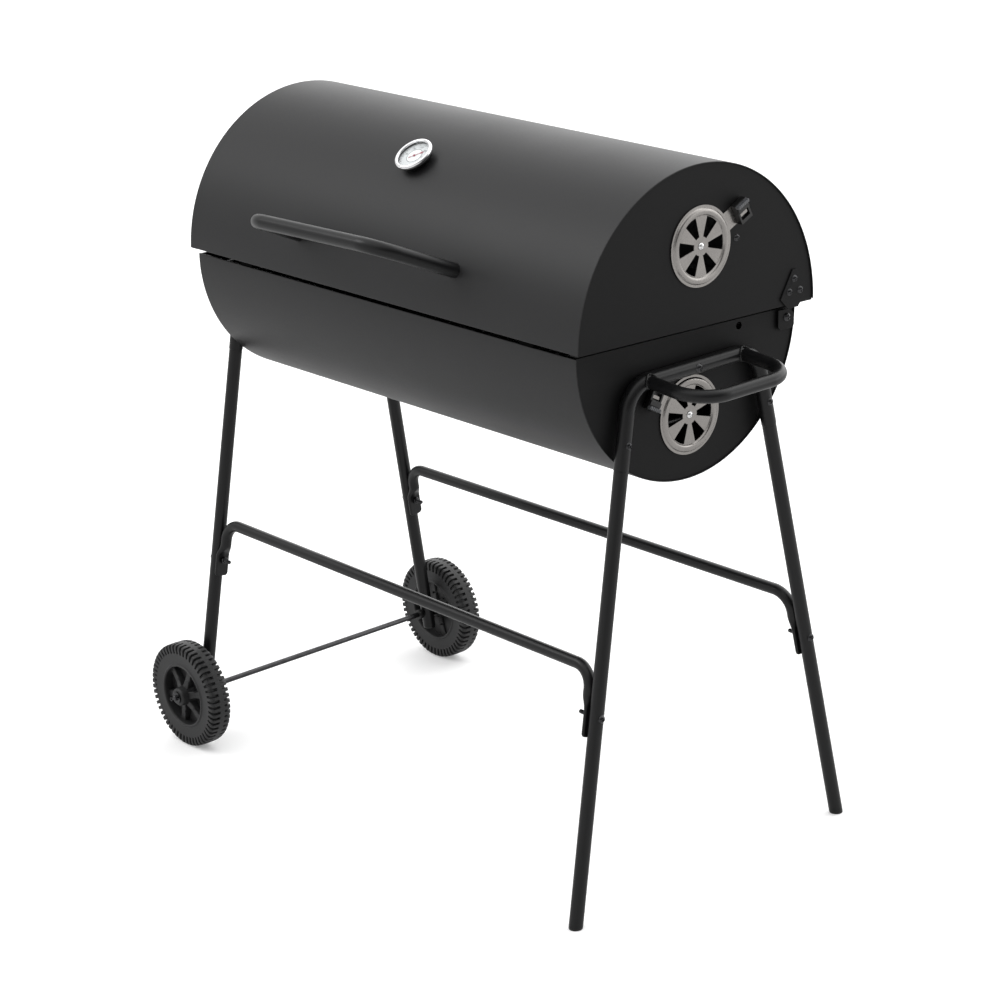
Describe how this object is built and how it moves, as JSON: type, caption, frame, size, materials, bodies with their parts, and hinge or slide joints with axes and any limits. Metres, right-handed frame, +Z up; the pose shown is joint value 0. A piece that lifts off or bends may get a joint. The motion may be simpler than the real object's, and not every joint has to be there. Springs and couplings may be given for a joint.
{
  "type": "barrel charcoal grill",
  "caption": "Half-barrel charcoal grill: hinged lid with gauge and handle, turning vents, tubular legs with stretchers, carry handle, wheels and lift-out grates.",
  "frame": {"origin": "on the floor under the middle of the grill's overall box", "axes": "+Z up, +X along the barrel towards the carry-handle end with the vents, -Y to the front where the lid handle and thermometer are"},
  "size_m": [1.0012, 0.5855, 0.96],
  "materials": {
    "black_lid": "satin black heat-resistant powder coat",
    "black_frame": "satin black powder coat on tube",
    "black_fastener": "black-zinc fasteners",
    "vent_steel": "brushed bare steel",
    "zinc": "bright zinc plated",
    "black_plastic": "black moulded plastic",
    "wheel_plastic": "black moulded wheel plastic",
    "bezel_chrome": "polished chrome",
    "dial_white": "printed white dial",
    "needle_red": "red pointer",
    "gauge_glass": "clear window",
    "grate_wire": "chrome-plated wire",
    "charcoal_wire": "black enamelled wire"
  },
  "bodies": {
    "stand": {"bowl_shell": "black_lid", "bowl_end_right": "black_lid", "bowl_end_left": "black_lid", "hinge_pivot_bolts": "black_fastener", "hinge_spacers": "black_fastener", "bowl_vent_pivot": "zinc", "bowl_vent_stop_screw": "black_fastener", "end_frame_right": "black_frame", "end_frame_left": "black_frame", "leg_front_right": "black_frame", "leg_rear_right": "black_frame", "leg_front_left": "black_frame", "leg_rear_left": "black_frame", "carry_handle": "black_frame", "carry_handle_welds": "black_frame", "frame_bolts": "black_fastener", "leg_screws": "black_fastener", "foot_caps": "black_plastic", "wheel_leg_caps": "black_plastic", "stretcher_front": "black_frame", "stretcher_rear": "black_frame", "stretcher_bolts": "black_fastener", "stretcher_nuts": "black_fastener", "axle_rod": "black_fastener", "axle_pins": "zinc", "axle_washers": "black_fastener", "axle_collars": "black_plastic", "cooking_grate_ledges": "black_lid", "charcoal_grate_ledges": "black_lid"},
    "lid": {"lid_shell": "black_lid", "lid_end_right": "black_lid", "lid_end_left": "black_lid", "lid_rest_tabs": "black_lid", "hinge_bracket_right": "black_lid", "hinge_bracket_left": "black_lid", "hinge_bracket_screws": "black_fastener", "lid_vent_pivot": "zinc", "lid_vent_stop_screw": "black_fastener", "lid_handle": "black_frame", "lid_handle_screws": "zinc", "thermometer_cup": "black_plastic", "thermometer_bezel": "bezel_chrome", "thermometer_dial": "dial_white", "thermometer_lens": "gauge_glass", "thermometer_stem": "zinc", "thermometer_nut": "zinc"},
    "lid_vent": {"lid_vent_disc": "vent_steel", "lid_vent_knob": "black_plastic"},
    "bowl_vent": {"bowl_vent_disc": "vent_steel", "bowl_vent_knob": "black_plastic"},
    "needle": {"thermometer_needle": "needle_red"},
    "front_wheel": {"wheel_front": "wheel_plastic"},
    "rear_wheel": {"wheel_rear": "wheel_plastic"},
    "left_cooking_grate": {"cooking_grate_left": "grate_wire"},
    "right_cooking_grate": {"cooking_grate_right": "grate_wire"},
    "coal_grate": {"charcoal_grate": "charcoal_wire"}
  },
  "joints": [
    {"name": "lid_hinge", "type": "hinge", "parent": "stand", "child": "lid", "pos_m": [0.0055, 0.19614, 0.72316], "axis": [-1, 0, 0], "range_deg": [0, 100]},
    {"name": "lid_vent_turn", "type": "hinge", "parent": "lid", "child": "lid_vent", "pos_m": [0.4043, 0.02313, 0.85392], "axis": [1, 0, 0], "range_deg": [0, 30]},
    {"name": "bowl_vent_turn", "type": "hinge", "parent": "stand", "child": "bowl_vent", "pos_m": [0.3853, 0.01913, 0.62995], "axis": [1, 0, 0], "range_deg": [0, 30]},
    {"name": "needle_turn", "type": "hinge", "parent": "lid", "child": "needle", "pos_m": [0.0025, -0.09845, 0.92422], "axis": [0, 0.5583, -0.8296], "range_deg": [0, 180]},
    {"name": "front_wheel_spin", "type": "hinge", "parent": "stand", "child": "front_wheel", "pos_m": [-0.42213, -0.2252, 0.0785], "axis": [0, 1, 0], "continuous": true},
    {"name": "rear_wheel_spin", "type": "hinge", "parent": "stand", "child": "rear_wheel", "pos_m": [-0.42213, 0.2628, 0.0785], "axis": [0, 1, 0], "continuous": true},
    {"name": "left_cooking_grate_lift", "type": "slide", "parent": "stand", "child": "left_cooking_grate", "axis": [0, 0.0272, 0.9996], "range_m": [0, 0.085]},
    {"name": "right_cooking_grate_lift", "type": "slide", "parent": "stand", "child": "right_cooking_grate", "axis": [0, 0.0272, 0.9996], "range_m": [0, 0.085]},
    {"name": "charcoal_grate_lift", "type": "slide", "parent": "stand", "child": "coal_grate", "axis": [0, 0.0272, 0.9996], "range_m": [0, 0.08]}
  ]
}
